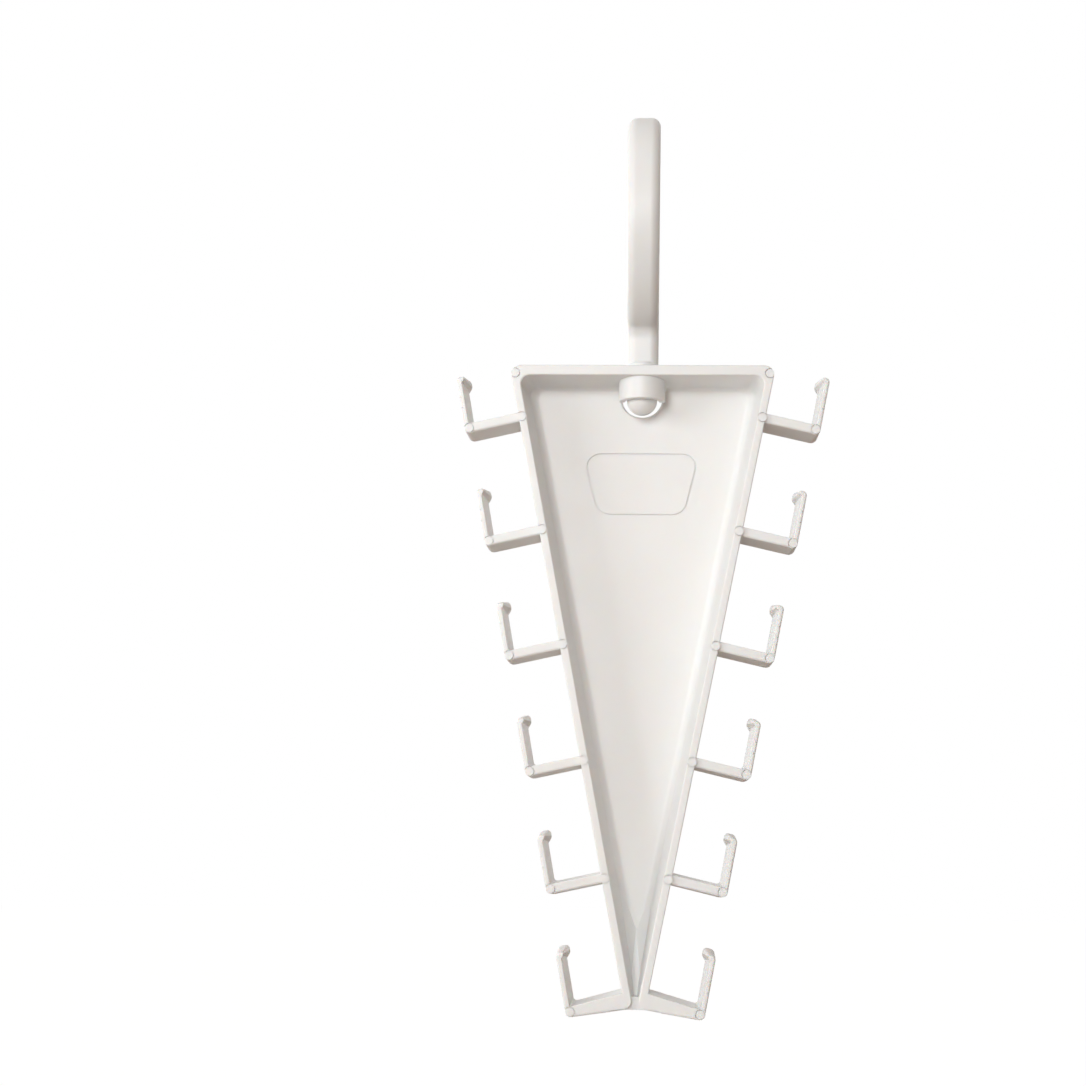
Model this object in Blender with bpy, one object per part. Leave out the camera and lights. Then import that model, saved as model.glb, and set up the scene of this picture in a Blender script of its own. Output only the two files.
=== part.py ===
"""Organizer hanger: a tapered tray with six pairs of side arms, hung from a swivelling hook.

Metres, +Z up, and the open front of the tray faces -Y. The origin is the point inside the top of the
hook's loop that rests on a rod, and the vertical through it is the swivel axis. The hook is turned a
quarter turn, so that its loop stands square to the tray.

On the real object the tray, the socket and the arms are one moulding, and the hook is a second one that
snaps into it. The arms are solids of their own here, a seam's width clear of the tray, so that each
slot has simple shapes round it.
"""
import math

import bmesh
import bpy
from mathutils import Vector

MM = 0.001
DEGREE = math.pi / 180

# Fits
SEAM_GAP = 0.3 * MM
SWIVEL_CLEARANCE = 0.3 * MM
HEAD_CLEARANCE = 0.4 * MM
CUT_OVERRUN = 2.0 * MM
MERGE_DISTANCE = 0.001 * MM

# Arms, measured at the front of the tray
TIERS = 6
ARM_PITCH = 37.0 * MM
FIRST_ARM_DROP = 17.15 * MM
LAST_ARM_TO_BOTTOM = 3.75 * MM
ARM_REACH = 16.6 * MM
ARM_DROP_ANGLE = 12.8 * DEGREE
ARM_THICKNESS = 3.0 * MM
ARM_DEPTH = 12.0 * MM
ARM_SETBACK = 1.0 * MM
UPRIGHT_LEAN = 10.4 * DEGREE
LAST_ARM_REACH = 17.2 * MM
LAST_ARM_DROP_ANGLE = 15.6 * DEGREE
LAST_ARM_ROOT_EXTRA = 2.35 * MM
LAST_UPRIGHT_EXTRA = 1.4 * MM

# The arms' outline at their front. It grows towards their back, as the mould half in front is drawn off.
FRONT_UPRIGHT_THICKNESS = 1.35 * MM
FRONT_UPRIGHT_HEIGHT = 17.3 * MM
FRONT_LIP_REACH = 0.75 * MM
FRONT_NOSE_HEIGHT = 0.6 * MM
FRONT_LIP_HEIGHT = 1.3 * MM
FRONT_TIP_RADIUS = 1.35 * MM
FRONT_NOSE_RADIUS = 0.25 * MM
FRONT_ELBOW_RADIUS = 1.6 * MM
FRONT_INNER_ELBOW_RADIUS = 0.5 * MM

# The arms' outline at their back
REAR_UPRIGHT_THICKNESS = 2.6 * MM
REAR_UPRIGHT_HEIGHT = 18.2 * MM
REAR_LIP_REACH = 1.4 * MM
REAR_NOSE_HEIGHT = 2.2 * MM
REAR_LIP_HEIGHT = 3.8 * MM
REAR_TIP_RADIUS = 1.8 * MM
REAR_NOSE_RADIUS = 0.9 * MM
REAR_ELBOW_RADIUS = 2.2 * MM
REAR_INNER_ELBOW_RADIUS = 1.1 * MM
REAR_BAR_DROP = 1.1 * MM

# Tray
TRAY_TOP_WIDTH = 86.6 * MM
TRAY_BOTTOM_WIDTH = 6.3 * MM
TRAY_HEIGHT = FIRST_ARM_DROP + (TIERS - 1) * ARM_PITCH + LAST_ARM_TO_BOTTOM
TRAY_DEPTH = 17.0 * MM
FLOOR_THICKNESS = 1.7 * MM
RIM_WIDTH = 2.6 * MM
TOP_WALL = 3.3 * MM
BOTTOM_WALL = 4.0 * MM
WALL_DRAFT = 1.8 * MM
FLOOR_FILLET = 3.2 * MM
TOP_WALL_SHARE = 0.6
CORNER_RADIUS = 3.2 * MM
FOOT_RADIUS = 0.4 * MM
VALLEY_HALF_WIDTH = 0.4 * MM
BACK_EDGE_RADIUS = 2.2 * MM
RIM_EDGE_RADIUS = 0.4 * MM
WEB_RECESS = 1.2 * MM
WEB_MOUTH_RADIUS = 2.8 * MM

# Debossed outline of the bare label place on the floor of the tray
LABEL_DROP = 26.4 * MM
LABEL_HEIGHT = 20.9 * MM
LABEL_TOP_WIDTH = 39.2 * MM
LABEL_BOTTOM_WIDTH = 28.6 * MM
LABEL_RADIUS = 5.0 * MM
LABEL_LINE_WIDTH = 0.6 * MM
LABEL_LINE_DEPTH = 0.35 * MM

# Hook
ROD_ROOM_RADIUS = 26.5 * MM
HOOK_THICKNESS = 9.0 * MM
HOOK_WIDTH = 10.5 * MM
HOOK_CORNER_RADIUS = 3.0 * MM
LOOP_CENTRE_HEIGHT = 47.8 * MM
NECK_BEND_RADIUS = 8.5 * MM
TIP_ANGLE = 8.0 * DEGREE
TAPER_ANGLE = 70.0 * DEGREE
TIP_SHARE = 0.72
TIP_END_SHARE = 0.3
COLLAR_RADIUS = 6.1 * MM
COLLAR_HEIGHT = 0.9 * MM
COLLAR_FILLET = 0.9 * MM
JOURNAL_RADIUS = 3.5 * MM
HEAD_RADIUS = 5.0 * MM
HEAD_STRAIGHT = 6.4 * MM
HEAD_CHAMFER = 0.6 * MM
SLIT_WIDTH = 1.4 * MM
SLIT_IN_JOURNAL = 2.0 * MM
SNAP_LIP = 0.4 * MM

# Socket
SOCKET_WALL = 1.9 * MM
SOCKET_HEIGHT = 6.6 * MM
SOCKET_ROOT = 0.8 * MM
SOCKET_BEHIND_AXIS = 0.4 * MM
WINDOW_INSET = 0.3 * MM
WINDOW_BEHIND_AXIS = 1.0 * MM
WINDOW_BELOW_SEAT = 0.3 * MM
WINDOW_BELOW_SOCKET = 4.6 * MM
WINDOW_RADIUS = 6.6 * MM

# Numbers of steps in round stretches
CORNER_STEPS = 4
FILLET_STEPS = 4
EDGE_STEPS = 2
BACK_EDGE_STEPS = 3
SECTION_STEPS = 3
BEND_STEPS = 7
LOOP_STEPS = 36
TAPER_STEPS = 4
HEAD_STEPS = 8
TURN_STEPS = 32

IVORY = (0.80, 0.79, 0.765, 1.0)
IVORY_HOOK = (0.82, 0.81, 0.785, 1.0)
PLASTIC_ROUGHNESS = 0.42
SHARP_ANGLE = 35.0 * DEGREE

# Places that follow from the sizes above
TRAY_TOP = -(LOOP_CENTRE_HEIGHT + ROD_ROOM_RADIUS)
TRAY_BOTTOM = TRAY_TOP - TRAY_HEIGHT
FRONT = -TRAY_DEPTH / 2
BACK = TRAY_DEPTH / 2
FLOOR_FRONT = BACK - FLOOR_THICKNESS
SIDE_SLOPE = (TRAY_TOP_WIDTH - TRAY_BOTTOM_WIDTH) / 2 / TRAY_HEIGHT
SIDE_ANGLE = math.atan(SIDE_SLOPE)
LOOP_CENTRE = -ROD_ROOM_RADIUS
LOOP_RADIUS = ROD_ROOM_RADIUS + HOOK_THICKNESS / 2
SOCKET_BORE_RADIUS = HEAD_RADIUS + HEAD_CLEARANCE
SOCKET_RADIUS = SOCKET_BORE_RADIUS + SOCKET_WALL
TOP_WALL_UNDERSIDE = TRAY_TOP - TOP_WALL
SOCKET_BOTTOM = TOP_WALL_UNDERSIDE - SOCKET_HEIGHT
HEAD_SHOULDER = TOP_WALL_UNDERSIDE - SWIVEL_CLEARANCE
HEAD_CENTRE = HEAD_SHOULDER - HEAD_STRAIGHT


def clear_scene():
    """Remove what the scene holds at the start."""
    for item in list(bpy.data.objects):
        bpy.data.objects.remove(item, do_unlink=True)


def plastic(name, colour):
    """A satin moulded plastic."""
    material = bpy.data.materials.new(name)
    material.use_nodes = True
    shader = material.node_tree.nodes["Principled BSDF"]
    shader.inputs["Base Color"].default_value = colour
    shader.inputs["Roughness"].default_value = PLASTIC_ROUGHNESS
    shader.inputs["Metallic"].default_value = 0
    return material


def add_object(name, mesh, colour=IVORY):
    """Put a mesh in the scene as a named object with its own material."""
    item = bpy.data.objects.new(name, mesh)
    bpy.context.scene.collection.objects.link(item)
    mesh.materials.clear()
    mesh.materials.append(plastic(name, colour))
    return item


def finish_mesh(name, shape):
    """Turn a bmesh into a mesh with outward faces and smooth round stretches."""
    bmesh.ops.recalc_face_normals(shape, faces=shape.faces)
    mesh = bpy.data.meshes.new(name)
    shape.to_mesh(mesh)
    shape.free()
    mesh.shade_smooth()
    mesh.set_sharp_from_angle(angle=SHARP_ANGLE)
    return mesh


def loft(name, rings):
    """Close a body over rings of equally many points, by extruding a face from each ring to the next."""
    shape = bmesh.new()
    first = shape.faces.new([shape.verts.new(point) for point in rings[0]])
    face = first
    for ring in rings[1:]:
        grown = bmesh.ops.extrude_face_region(shape, geom=[face])["geom"]
        if face != first:
            bmesh.ops.delete(shape, geom=[face], context="FACES_ONLY")
        face = next(item for item in grown if isinstance(item, bmesh.types.BMFace))
        for vert, point in zip(face.verts, ring):
            vert.co = point
    return finish_mesh(name, shape)


def rounded(corners, radii, steps=CORNER_STEPS):
    """Replace each corner of an outline by an arc. A radius of zero keeps the corner as one point."""
    points = []
    for index, (corner, radius) in enumerate(zip(corners, radii)):
        corner = Vector(corner)
        before = (Vector(corners[index - 1]) - corner).normalized()
        after = (Vector(corners[(index + 1) % len(corners)]) - corner).normalized()
        if radius == 0:
            points.append(corner)
            continue
        half = before.angle(after) / 2
        centre = corner + (before + after).normalized() * (radius / math.sin(half))
        start = corner + before * (radius / math.tan(half)) - centre
        end = corner + after * (radius / math.tan(half)) - centre
        for step in range(steps + 1):
            points.append(centre + start.normalized().slerp(end.normalized(), step / steps) * radius)
    return points


def upright_ring(outline, y):
    """Stand an outline of (x, z) points at a depth."""
    return [(point[0], y, point[1]) for point in outline]


def level_ring(outline, z):
    """Lay an outline of (x, y) points at a height."""
    return [(point[0], point[1], z) for point in outline]


def cutter(name, mesh):
    """A helper body that a Boolean reads, and that isn't part of the object."""
    item = bpy.data.objects.new(name, mesh)
    bpy.context.scene.collection.objects.link(item)
    item.hide_render = True
    item.display_type = "WIRE"
    return item


def combine(item, operand, operation):
    """Cut the operand out of an object, or join it on."""
    change = item.modifiers.new(operand.name, "BOOLEAN")
    change.operation = operation
    change.solver = "EXACT"
    change.object = operand


def side_x(z):
    """Half the tray's outer width at a height."""
    return TRAY_TOP_WIDTH / 2 + (z - TRAY_TOP) * SIDE_SLOPE


def tray_outline(side_inset, top_inset, bottom_inset, foot_radius):
    """The tray's tapered outline, moved in from its outer faces.

    Where the sides would cross before they reach the bottom, the outline ends in a narrow valley.
    """
    inset_across = side_inset / math.cos(SIDE_ANGLE)
    top = TRAY_TOP - top_inset
    valley = TRAY_TOP - (TRAY_TOP_WIDTH / 2 - inset_across - VALLEY_HALF_WIDTH) / SIDE_SLOPE
    bottom = max(TRAY_BOTTOM + bottom_inset, valley)
    half_top = side_x(top) - inset_across
    half_bottom = side_x(bottom) - inset_across
    corners = [(-half_top, top), (-half_bottom, bottom), (half_bottom, bottom), (half_top, top)]
    foot_limit = half_bottom / math.tan((math.pi / 2 - SIDE_ANGLE) / 2)
    foot = min(foot_radius, foot_limit / 2)
    return rounded(corners, [CORNER_RADIUS, foot, foot, CORNER_RADIUS])


def quarter(radius, steps):
    """Steps of a quarter round: how far along and how far across each lies, from 0 to the radius."""
    turns = [math.pi / 2 * step / steps for step in range(steps + 1)]
    return [(radius * math.sin(turn), radius * (1 - math.cos(turn))) for turn in turns]


def tray_rings():
    """Rings over the back, the outer walls, the rim, the inner walls and the floor."""
    rings = []
    for along, across in reversed(quarter(BACK_EDGE_RADIUS, BACK_EDGE_STEPS)):
        y = BACK - BACK_EDGE_RADIUS + along
        rings.append(upright_ring(tray_outline(across, across, across, FOOT_RADIUS), y))
    for along, across in quarter(RIM_EDGE_RADIUS, EDGE_STEPS):
        y = FRONT + RIM_EDGE_RADIUS - along
        rings.append(upright_ring(tray_outline(across, across, across, FOOT_RADIUS), y))
    for along, across in reversed(quarter(RIM_EDGE_RADIUS, EDGE_STEPS)):
        y = FRONT + RIM_EDGE_RADIUS - along
        walls = [width - across for width in (RIM_WIDTH, TOP_WALL, BOTTOM_WALL)]
        rings.append(upright_ring(tray_outline(*walls, CORNER_RADIUS), y))
    for along, across in quarter(FLOOR_FILLET, FILLET_STEPS):
        y = FLOOR_FRONT - FLOOR_FILLET + along
        inset = WALL_DRAFT + across
        walls = [RIM_WIDTH + inset, TOP_WALL + inset * TOP_WALL_SHARE, BOTTOM_WALL + inset]
        rings.append(upright_ring(tray_outline(*walls, CORNER_RADIUS), y))
    return rings


def circle_outline(radius, start=0, end=2 * math.pi, steps=TURN_STEPS):
    """Points (x, y) on a circle or an arc round the swivel axis, counted from +X."""
    turns = [start + (end - start) * step / steps for step in range(steps + 1)]
    return [(radius * math.cos(turn), radius * math.sin(turn)) for turn in turns]


def socket_band():
    """The half-round boss in front of the hook's head. It hangs from the top wall."""
    outline = circle_outline(SOCKET_RADIUS, math.pi, 2 * math.pi, TURN_STEPS // 2)
    outline += [(SOCKET_RADIUS, SOCKET_BEHIND_AXIS), (-SOCKET_RADIUS, SOCKET_BEHIND_AXIS)]
    top = TOP_WALL_UNDERSIDE + SOCKET_ROOT
    return cutter("socket_band", loft("socket_band", [level_ring(outline, SOCKET_BOTTOM),
                                                      level_ring(outline, top)]))


def head_room():
    """The bore that the hook's head turns in, up to a flat seat under the top wall."""
    outline = circle_outline(SOCKET_BORE_RADIUS)[1:]
    low = SOCKET_BOTTOM - CUT_OVERRUN
    return cutter("head_room", loft("head_room", [level_ring(outline, low),
                                                  level_ring(outline, TOP_WALL_UNDERSIDE)]))


def journal_slot():
    """The hook's seat in the top wall: round, with a narrower way in from behind that it snaps past."""
    seat = JOURNAL_RADIUS + SWIVEL_CLEARANCE
    way_in = JOURNAL_RADIUS - SNAP_LIP
    mouth = math.acos(way_in / seat)
    outline = circle_outline(seat, math.pi - mouth, 2 * math.pi + mouth)
    outline += [(way_in, BACK + CUT_OVERRUN), (-way_in, BACK + CUT_OVERRUN)]
    low = TOP_WALL_UNDERSIDE - CUT_OVERRUN
    return cutter("journal_slot", loft("journal_slot", [level_ring(outline, low),
                                                        level_ring(outline, TRAY_TOP + CUT_OVERRUN)]))


def floor_window():
    """The opening in the floor behind the hook's head."""
    low = SOCKET_BOTTOM - WINDOW_BELOW_SOCKET
    high = TOP_WALL_UNDERSIDE - WINDOW_BELOW_SEAT
    half = SOCKET_RADIUS - WINDOW_INSET
    corners = [(-half, high), (-half, low), (half, low), (half, high)]
    outline = rounded(corners, [0, WINDOW_RADIUS, WINDOW_RADIUS, 0])
    return cutter("floor_window", loft("floor_window", [upright_ring(outline, WINDOW_BEHIND_AXIS),
                                                        upright_ring(outline, BACK + CUT_OVERRUN)]))


def label_outline(inset):
    """The outline of the label place, moved in."""
    top = TRAY_TOP - LABEL_DROP - inset
    bottom = TRAY_TOP - LABEL_DROP - LABEL_HEIGHT + inset
    half_top = LABEL_TOP_WIDTH / 2 - inset
    half_bottom = LABEL_BOTTOM_WIDTH / 2 - inset
    corners = [(-half_top, top), (-half_bottom, bottom), (half_bottom, bottom), (half_top, top)]
    return rounded(corners, [LABEL_RADIUS - inset] * len(corners))


def label_line():
    """The fine groove round the label place, as a ring that is cut out of the floor."""
    rings = []
    for inset, y in ((0, FLOOR_FRONT - CUT_OVERRUN), (0, FLOOR_FRONT + LABEL_LINE_DEPTH),
                     (LABEL_LINE_WIDTH, FLOOR_FRONT + LABEL_LINE_DEPTH),
                     (LABEL_LINE_WIDTH, FLOOR_FRONT - CUT_OVERRUN)):
        rings.append(upright_ring(label_outline(inset), y))
    shape = bmesh.new()
    loops = []
    for ring in rings:
        verts = [shape.verts.new(point) for point in ring]
        loops.append([shape.edges.new(pair) for pair in zip(verts, verts[1:] + verts[:1])])
    for first, second in zip(loops, loops[1:] + loops[:1]):
        bmesh.ops.bridge_loops(shape, edges=first + second)
    return cutter("label_line", finish_mesh("label_line", shape))


def web_recess():
    """The channel that sets the web between the two rims back, with a flared lower mouth."""
    inner_top = TRAY_BOTTOM + BOTTOM_WALL
    half = max(side_x(inner_top) - RIM_WIDTH / math.cos(SIDE_ANGLE), VALLEY_HALF_WIDTH)
    turn = TRAY_BOTTOM + WEB_MOUTH_RADIUS
    flank = [(-half, inner_top + BOTTOM_WALL)]
    flank += [(-half - across, turn - along) for along, across in quarter(WEB_MOUTH_RADIUS, CORNER_STEPS)]
    flank += [(-half - WEB_MOUTH_RADIUS, TRAY_BOTTOM - CUT_OVERRUN)]
    outline = flank + [(-x, z) for x, z in reversed(flank)]
    return cutter("web_recess", loft("web_recess", [upright_ring(outline, FRONT - CUT_OVERRUN),
                                                    upright_ring(outline, FRONT + WEB_RECESS)]))


def build_tray():
    """The tapered tray, with the socket's band, the hook's slot, the window and the label's line."""
    tray = add_object("tray", loft("tray", tray_rings()))
    combine(tray, floor_window(), "DIFFERENCE")
    combine(tray, socket_band(), "UNION")
    combine(tray, head_room(), "DIFFERENCE")
    combine(tray, journal_slot(), "DIFFERENCE")
    combine(tray, label_line(), "DIFFERENCE")
    combine(tray, web_recess(), "DIFFERENCE")
    return tray


def crossing(point_a, way_a, point_b, way_b):
    """Where two lines of the front view meet."""
    across = way_a.x * way_b.y - way_a.y * way_b.x
    apart = point_b - point_a
    return point_a + way_a * ((apart.x * way_b.y - apart.y * way_b.x) / across)


def arm_outline(thickness, height, lip, nose, lip_height, drop, radii, last):
    """A right-hand arm in the front view, from the middle of its root on the tray's side."""
    drop_angle = LAST_ARM_DROP_ANGLE if last else ARM_DROP_ANGLE
    bar_way = Vector((math.cos(drop_angle), -math.sin(drop_angle)))
    bar_up = Vector((math.sin(drop_angle), math.cos(drop_angle)))
    up_way = Vector((math.sin(UPRIGHT_LEAN), math.cos(UPRIGHT_LEAN)))
    up_out = Vector((math.cos(UPRIGHT_LEAN), -math.sin(UPRIGHT_LEAN)))
    side_way = Vector((math.sin(SIDE_ANGLE), math.cos(SIDE_ANGLE)))
    seam = Vector((SEAM_GAP / math.cos(SIDE_ANGLE), 0))
    elbow = bar_way * (LAST_ARM_REACH if last else ARM_REACH)
    outer = elbow + up_out * (ARM_THICKNESS / 2)
    inner = outer - up_out * thickness
    above = bar_up * (ARM_THICKNESS / 2)
    below = -bar_up * (ARM_THICKNESS / 2 + drop)
    top = height + (LAST_UPRIGHT_EXTRA if last else 0)
    elbow_low = crossing(below, bar_way, outer, up_way)
    root_low = crossing(below, bar_way, seam, side_way) - side_way * (LAST_ARM_ROOT_EXTRA if last else 0)
    root_high = crossing(above, bar_way, seam, side_way)
    elbow_high = crossing(above, bar_way, inner, up_way)
    lip_root = inner + up_way * (top - lip_height)
    nose_low = inner - up_out * lip + up_way * (top - nose)
    nose_high = inner - up_out * lip + up_way * top
    tip = outer + up_way * top
    corners = [root_low, elbow_low, tip, nose_high, nose_low, lip_root, elbow_high, root_high]
    elbow_radius, tip_radius, nose_radius, inner_radius = radii
    return rounded(corners, [0, elbow_radius, tip_radius, nose_radius, nose_radius, 0, inner_radius, 0])


def arm_mesh(name, side, last):
    """One arm, from its front to its back."""
    front = arm_outline(FRONT_UPRIGHT_THICKNESS, FRONT_UPRIGHT_HEIGHT, FRONT_LIP_REACH, FRONT_NOSE_HEIGHT,
                        FRONT_LIP_HEIGHT, 0, (FRONT_ELBOW_RADIUS, FRONT_TIP_RADIUS, FRONT_NOSE_RADIUS,
                                              FRONT_INNER_ELBOW_RADIUS), last)
    rear = arm_outline(REAR_UPRIGHT_THICKNESS, REAR_UPRIGHT_HEIGHT, REAR_LIP_REACH, REAR_NOSE_HEIGHT,
                       REAR_LIP_HEIGHT, REAR_BAR_DROP, (REAR_ELBOW_RADIUS, REAR_TIP_RADIUS, REAR_NOSE_RADIUS,
                                                        REAR_INNER_ELBOW_RADIUS), last)
    near = FRONT if last else FRONT + ARM_SETBACK
    rings = []
    for outline, y in ((front, near), (rear, FRONT + ARM_SETBACK + ARM_DEPTH)):
        rings.append([(side * point.x, y, point.y) for point in outline])
    return loft(name, rings)


def build_arms():
    """Six arms down each side, each set at its root on the tray's side."""
    for word, side in (("left", -1), ("right", 1)):
        for tier in range(TIERS):
            name = f"{word}_arm_{tier + 1}"
            arm = add_object(name, arm_mesh(name, side, tier == TIERS - 1))
            z = TRAY_TOP - FIRST_ARM_DROP - tier * ARM_PITCH
            arm.location = (side * side_x(z), 0, z)


def hook_path():
    """Stations (y, z, heading) up the neck, round its bend and round the loop to the tip."""
    reach = LOOP_RADIUS + NECK_BEND_RADIUS
    bend_z = LOOP_CENTRE - math.sqrt(reach ** 2 - NECK_BEND_RADIUS ** 2)
    bend_turn = math.acos(NECK_BEND_RADIUS / reach)
    path = [(0, TRAY_TOP + SWIVEL_CLEARANCE + COLLAR_HEIGHT / 2, math.pi / 2)]
    for step in range(BEND_STEPS):
        turn = bend_turn * step / BEND_STEPS
        y = -NECK_BEND_RADIUS + NECK_BEND_RADIUS * math.cos(turn)
        path.append((y, bend_z + NECK_BEND_RADIUS * math.sin(turn), turn + math.pi / 2))
    start = math.pi + bend_turn
    for step in range(LOOP_STEPS + 1):
        turn = start + (-TIP_ANGLE - start) * step / LOOP_STEPS
        y = LOOP_RADIUS * math.cos(turn)
        path.append((y, LOOP_CENTRE + LOOP_RADIUS * math.sin(turn), turn - math.pi / 2))
    return path


def hook_section(share):
    """The rounded section of the hook, as (across, outward) points."""
    half_width = HOOK_WIDTH / 2 * share
    half_thickness = HOOK_THICKNESS / 2 * share
    corners = [(half_width, half_thickness), (-half_width, half_thickness),
               (-half_width, -half_thickness), (half_width, -half_thickness)]
    return rounded(corners, [HOOK_CORNER_RADIUS * share] * len(corners), SECTION_STEPS)


def hook_ring(y, z, heading, share):
    """The hook's section stood across its path."""
    outward = Vector((-math.sin(heading), math.cos(heading)))
    return [(point[0], y + outward.x * point[1], z + outward.y * point[1]) for point in hook_section(share)]


def hook_loop():
    """The neck and the loop. The last stretch tapers to a rounded tip."""
    rings = []
    taper_from = -math.pi / 2 - TIP_ANGLE + TAPER_ANGLE
    for y, z, heading in hook_path():
        taper = max(0, (taper_from - heading) / TAPER_ANGLE)
        rings.append(hook_ring(y, z, heading, 1 - (1 - TIP_SHARE) * taper))
    end_round = HOOK_THICKNESS / 2 * TIP_SHARE
    for step in range(1, TAPER_STEPS + 1):
        turn = math.pi / 2 * step / TAPER_STEPS
        along = end_round * math.sin(turn)
        share = TIP_SHARE * (TIP_END_SHARE + (1 - TIP_END_SHARE) * math.cos(turn))
        rings.append(hook_ring(y + along * math.cos(heading), z + along * math.sin(heading), heading, share))
    return loft("swivel_hook", rings)


def journal_profile():
    """The turned lower end of the hook: collar, journal and rounded head, as (radius, z) from the top."""
    seat = TRAY_TOP + SWIVEL_CLEARANCE
    top = seat + COLLAR_HEIGHT + COLLAR_FILLET
    neck = COLLAR_RADIUS - COLLAR_FILLET
    profile = [(0, top)]
    profile += [(neck + across, top - along) for along, across in quarter(COLLAR_FILLET, EDGE_STEPS)]
    profile += [(COLLAR_RADIUS, seat), (JOURNAL_RADIUS, seat), (JOURNAL_RADIUS, HEAD_SHOULDER),
                (HEAD_RADIUS - HEAD_CHAMFER, HEAD_SHOULDER), (HEAD_RADIUS, HEAD_SHOULDER - HEAD_CHAMFER)]
    for step in range(HEAD_STEPS):
        turn = math.pi / 2 * step / HEAD_STEPS
        profile.append((HEAD_RADIUS * math.cos(turn), HEAD_CENTRE - HEAD_RADIUS * math.sin(turn)))
    profile.append((0, HEAD_CENTRE - HEAD_RADIUS))
    return profile


def turned(name, profile):
    """Spin a profile round the swivel axis."""
    shape = bmesh.new()
    verts = [shape.verts.new((radius, 0, z)) for radius, z in profile]
    edges = [shape.edges.new(pair) for pair in zip(verts, verts[1:])]
    bmesh.ops.spin(shape, geom=verts + edges, cent=(0, 0, 0), axis=(0, 0, 1), angle=2 * math.pi,
                   steps=TURN_STEPS, use_merge=True, use_duplicate=False)
    bmesh.ops.remove_doubles(shape, verts=shape.verts, dist=MERGE_DISTANCE)
    return finish_mesh(name, shape)


def head_slit():
    """The slit that lets the head spring through the socket."""
    half = SLIT_WIDTH / 2
    across = HEAD_RADIUS + CUT_OVERRUN
    outline = [(-across, -half), (across, -half), (across, half), (-across, half)]
    low = HEAD_CENTRE - HEAD_RADIUS - CUT_OVERRUN
    high = HEAD_SHOULDER + SLIT_IN_JOURNAL
    return cutter("head_slit", loft("head_slit", [level_ring(outline, low), level_ring(outline, high)]))


def build_hook():
    """The swivelling hook, one moulding from the tip of its loop to its slit head."""
    hook = add_object("swivel_hook", hook_loop(), IVORY_HOOK)
    combine(hook, cutter("hook_journal", turned("hook_journal", journal_profile())), "UNION")
    combine(hook, head_slit(), "DIFFERENCE")
    return hook


def build():
    """Make the whole hanger."""
    clear_scene()
    build_tray()
    build_arms()
    build_hook()


build()
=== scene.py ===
# %% [markdown]
# # A hanger for straps, belts and ties
# The object is two plastic mouldings: a long tapered rack with twelve hooked arms, and a hook that turns
# in its top wall. Their construction is already made as solids, and this script gives them their looks.
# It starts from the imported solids, because a piece that is made in their frame needs no fitting later.

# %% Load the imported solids
import math

import bmesh
import bpy
from mathutils import Matrix, Vector


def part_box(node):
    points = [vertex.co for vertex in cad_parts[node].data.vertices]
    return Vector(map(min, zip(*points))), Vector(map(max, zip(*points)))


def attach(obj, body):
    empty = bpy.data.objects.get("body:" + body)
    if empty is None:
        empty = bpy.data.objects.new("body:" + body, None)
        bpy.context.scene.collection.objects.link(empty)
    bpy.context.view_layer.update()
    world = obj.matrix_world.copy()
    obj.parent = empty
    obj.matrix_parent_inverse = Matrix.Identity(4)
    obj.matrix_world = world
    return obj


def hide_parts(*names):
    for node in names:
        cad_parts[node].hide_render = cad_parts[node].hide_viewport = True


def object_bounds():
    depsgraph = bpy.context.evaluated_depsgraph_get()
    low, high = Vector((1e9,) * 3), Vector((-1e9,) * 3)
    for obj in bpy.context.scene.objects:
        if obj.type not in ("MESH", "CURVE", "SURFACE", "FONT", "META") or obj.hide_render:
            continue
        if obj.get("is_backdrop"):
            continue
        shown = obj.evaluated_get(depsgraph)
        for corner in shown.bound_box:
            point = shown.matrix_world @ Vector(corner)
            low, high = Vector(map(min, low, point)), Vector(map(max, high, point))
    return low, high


MM = 0.001
DEGREE = math.pi / 180

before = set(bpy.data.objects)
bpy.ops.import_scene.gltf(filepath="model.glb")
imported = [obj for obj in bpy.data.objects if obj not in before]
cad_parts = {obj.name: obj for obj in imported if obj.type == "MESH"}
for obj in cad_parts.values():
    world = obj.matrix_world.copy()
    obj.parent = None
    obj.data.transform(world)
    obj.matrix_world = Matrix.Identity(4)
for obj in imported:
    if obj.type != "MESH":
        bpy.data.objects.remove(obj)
cad_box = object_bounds()
print("CAD nodes:", len(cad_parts))

# %% [markdown]
# ## Camera
# The photograph is taken from in front and a little below the middle of the rack, with a portrait lens.
# Its place was worked out from the arms: their roots and elbows give the scale and the tilt, and the share
# of their undersides that shows gives the height of the eye. The frame is shifted a little, as in the
# picture, because the object stands right of the middle.

# %% Place the camera
PICTURE = 1086
LENS_IN_PIXELS = 1729
AXIS_IN_PICTURE = (556, 600)
EYE = Vector((5.5, -560.4, -203.2)) * MM
PITCH = 5.37 * DEGREE
YAW = 3.35 * DEGREE
ROLL = -0.90 * DEGREE

camera_data = bpy.data.cameras.new("camera")
camera_data.sensor_width = 36
camera_data.lens = camera_data.sensor_width * LENS_IN_PIXELS / PICTURE
camera_data.shift_x = 0.5 - AXIS_IN_PICTURE[0] / PICTURE
camera_data.shift_y = AXIS_IN_PICTURE[1] / PICTURE - 0.5
camera = bpy.data.objects.new("camera", camera_data)
bpy.context.scene.collection.objects.link(camera)
upright = Matrix.Rotation(90 * DEGREE, 4, "X")
turn = Matrix.Rotation(YAW, 4, "Z") @ Matrix.Rotation(PITCH, 4, "X") @ Matrix.Rotation(ROLL, 4, "Y")
camera.matrix_world = Matrix.Translation(EYE) @ turn @ upright
bpy.context.scene.camera = camera
shift = [round(share, 3) for share in (camera_data.shift_x, camera_data.shift_y)]
print("lens:", round(camera_data.lens, 1), "mm, shift:", shift)

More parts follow.
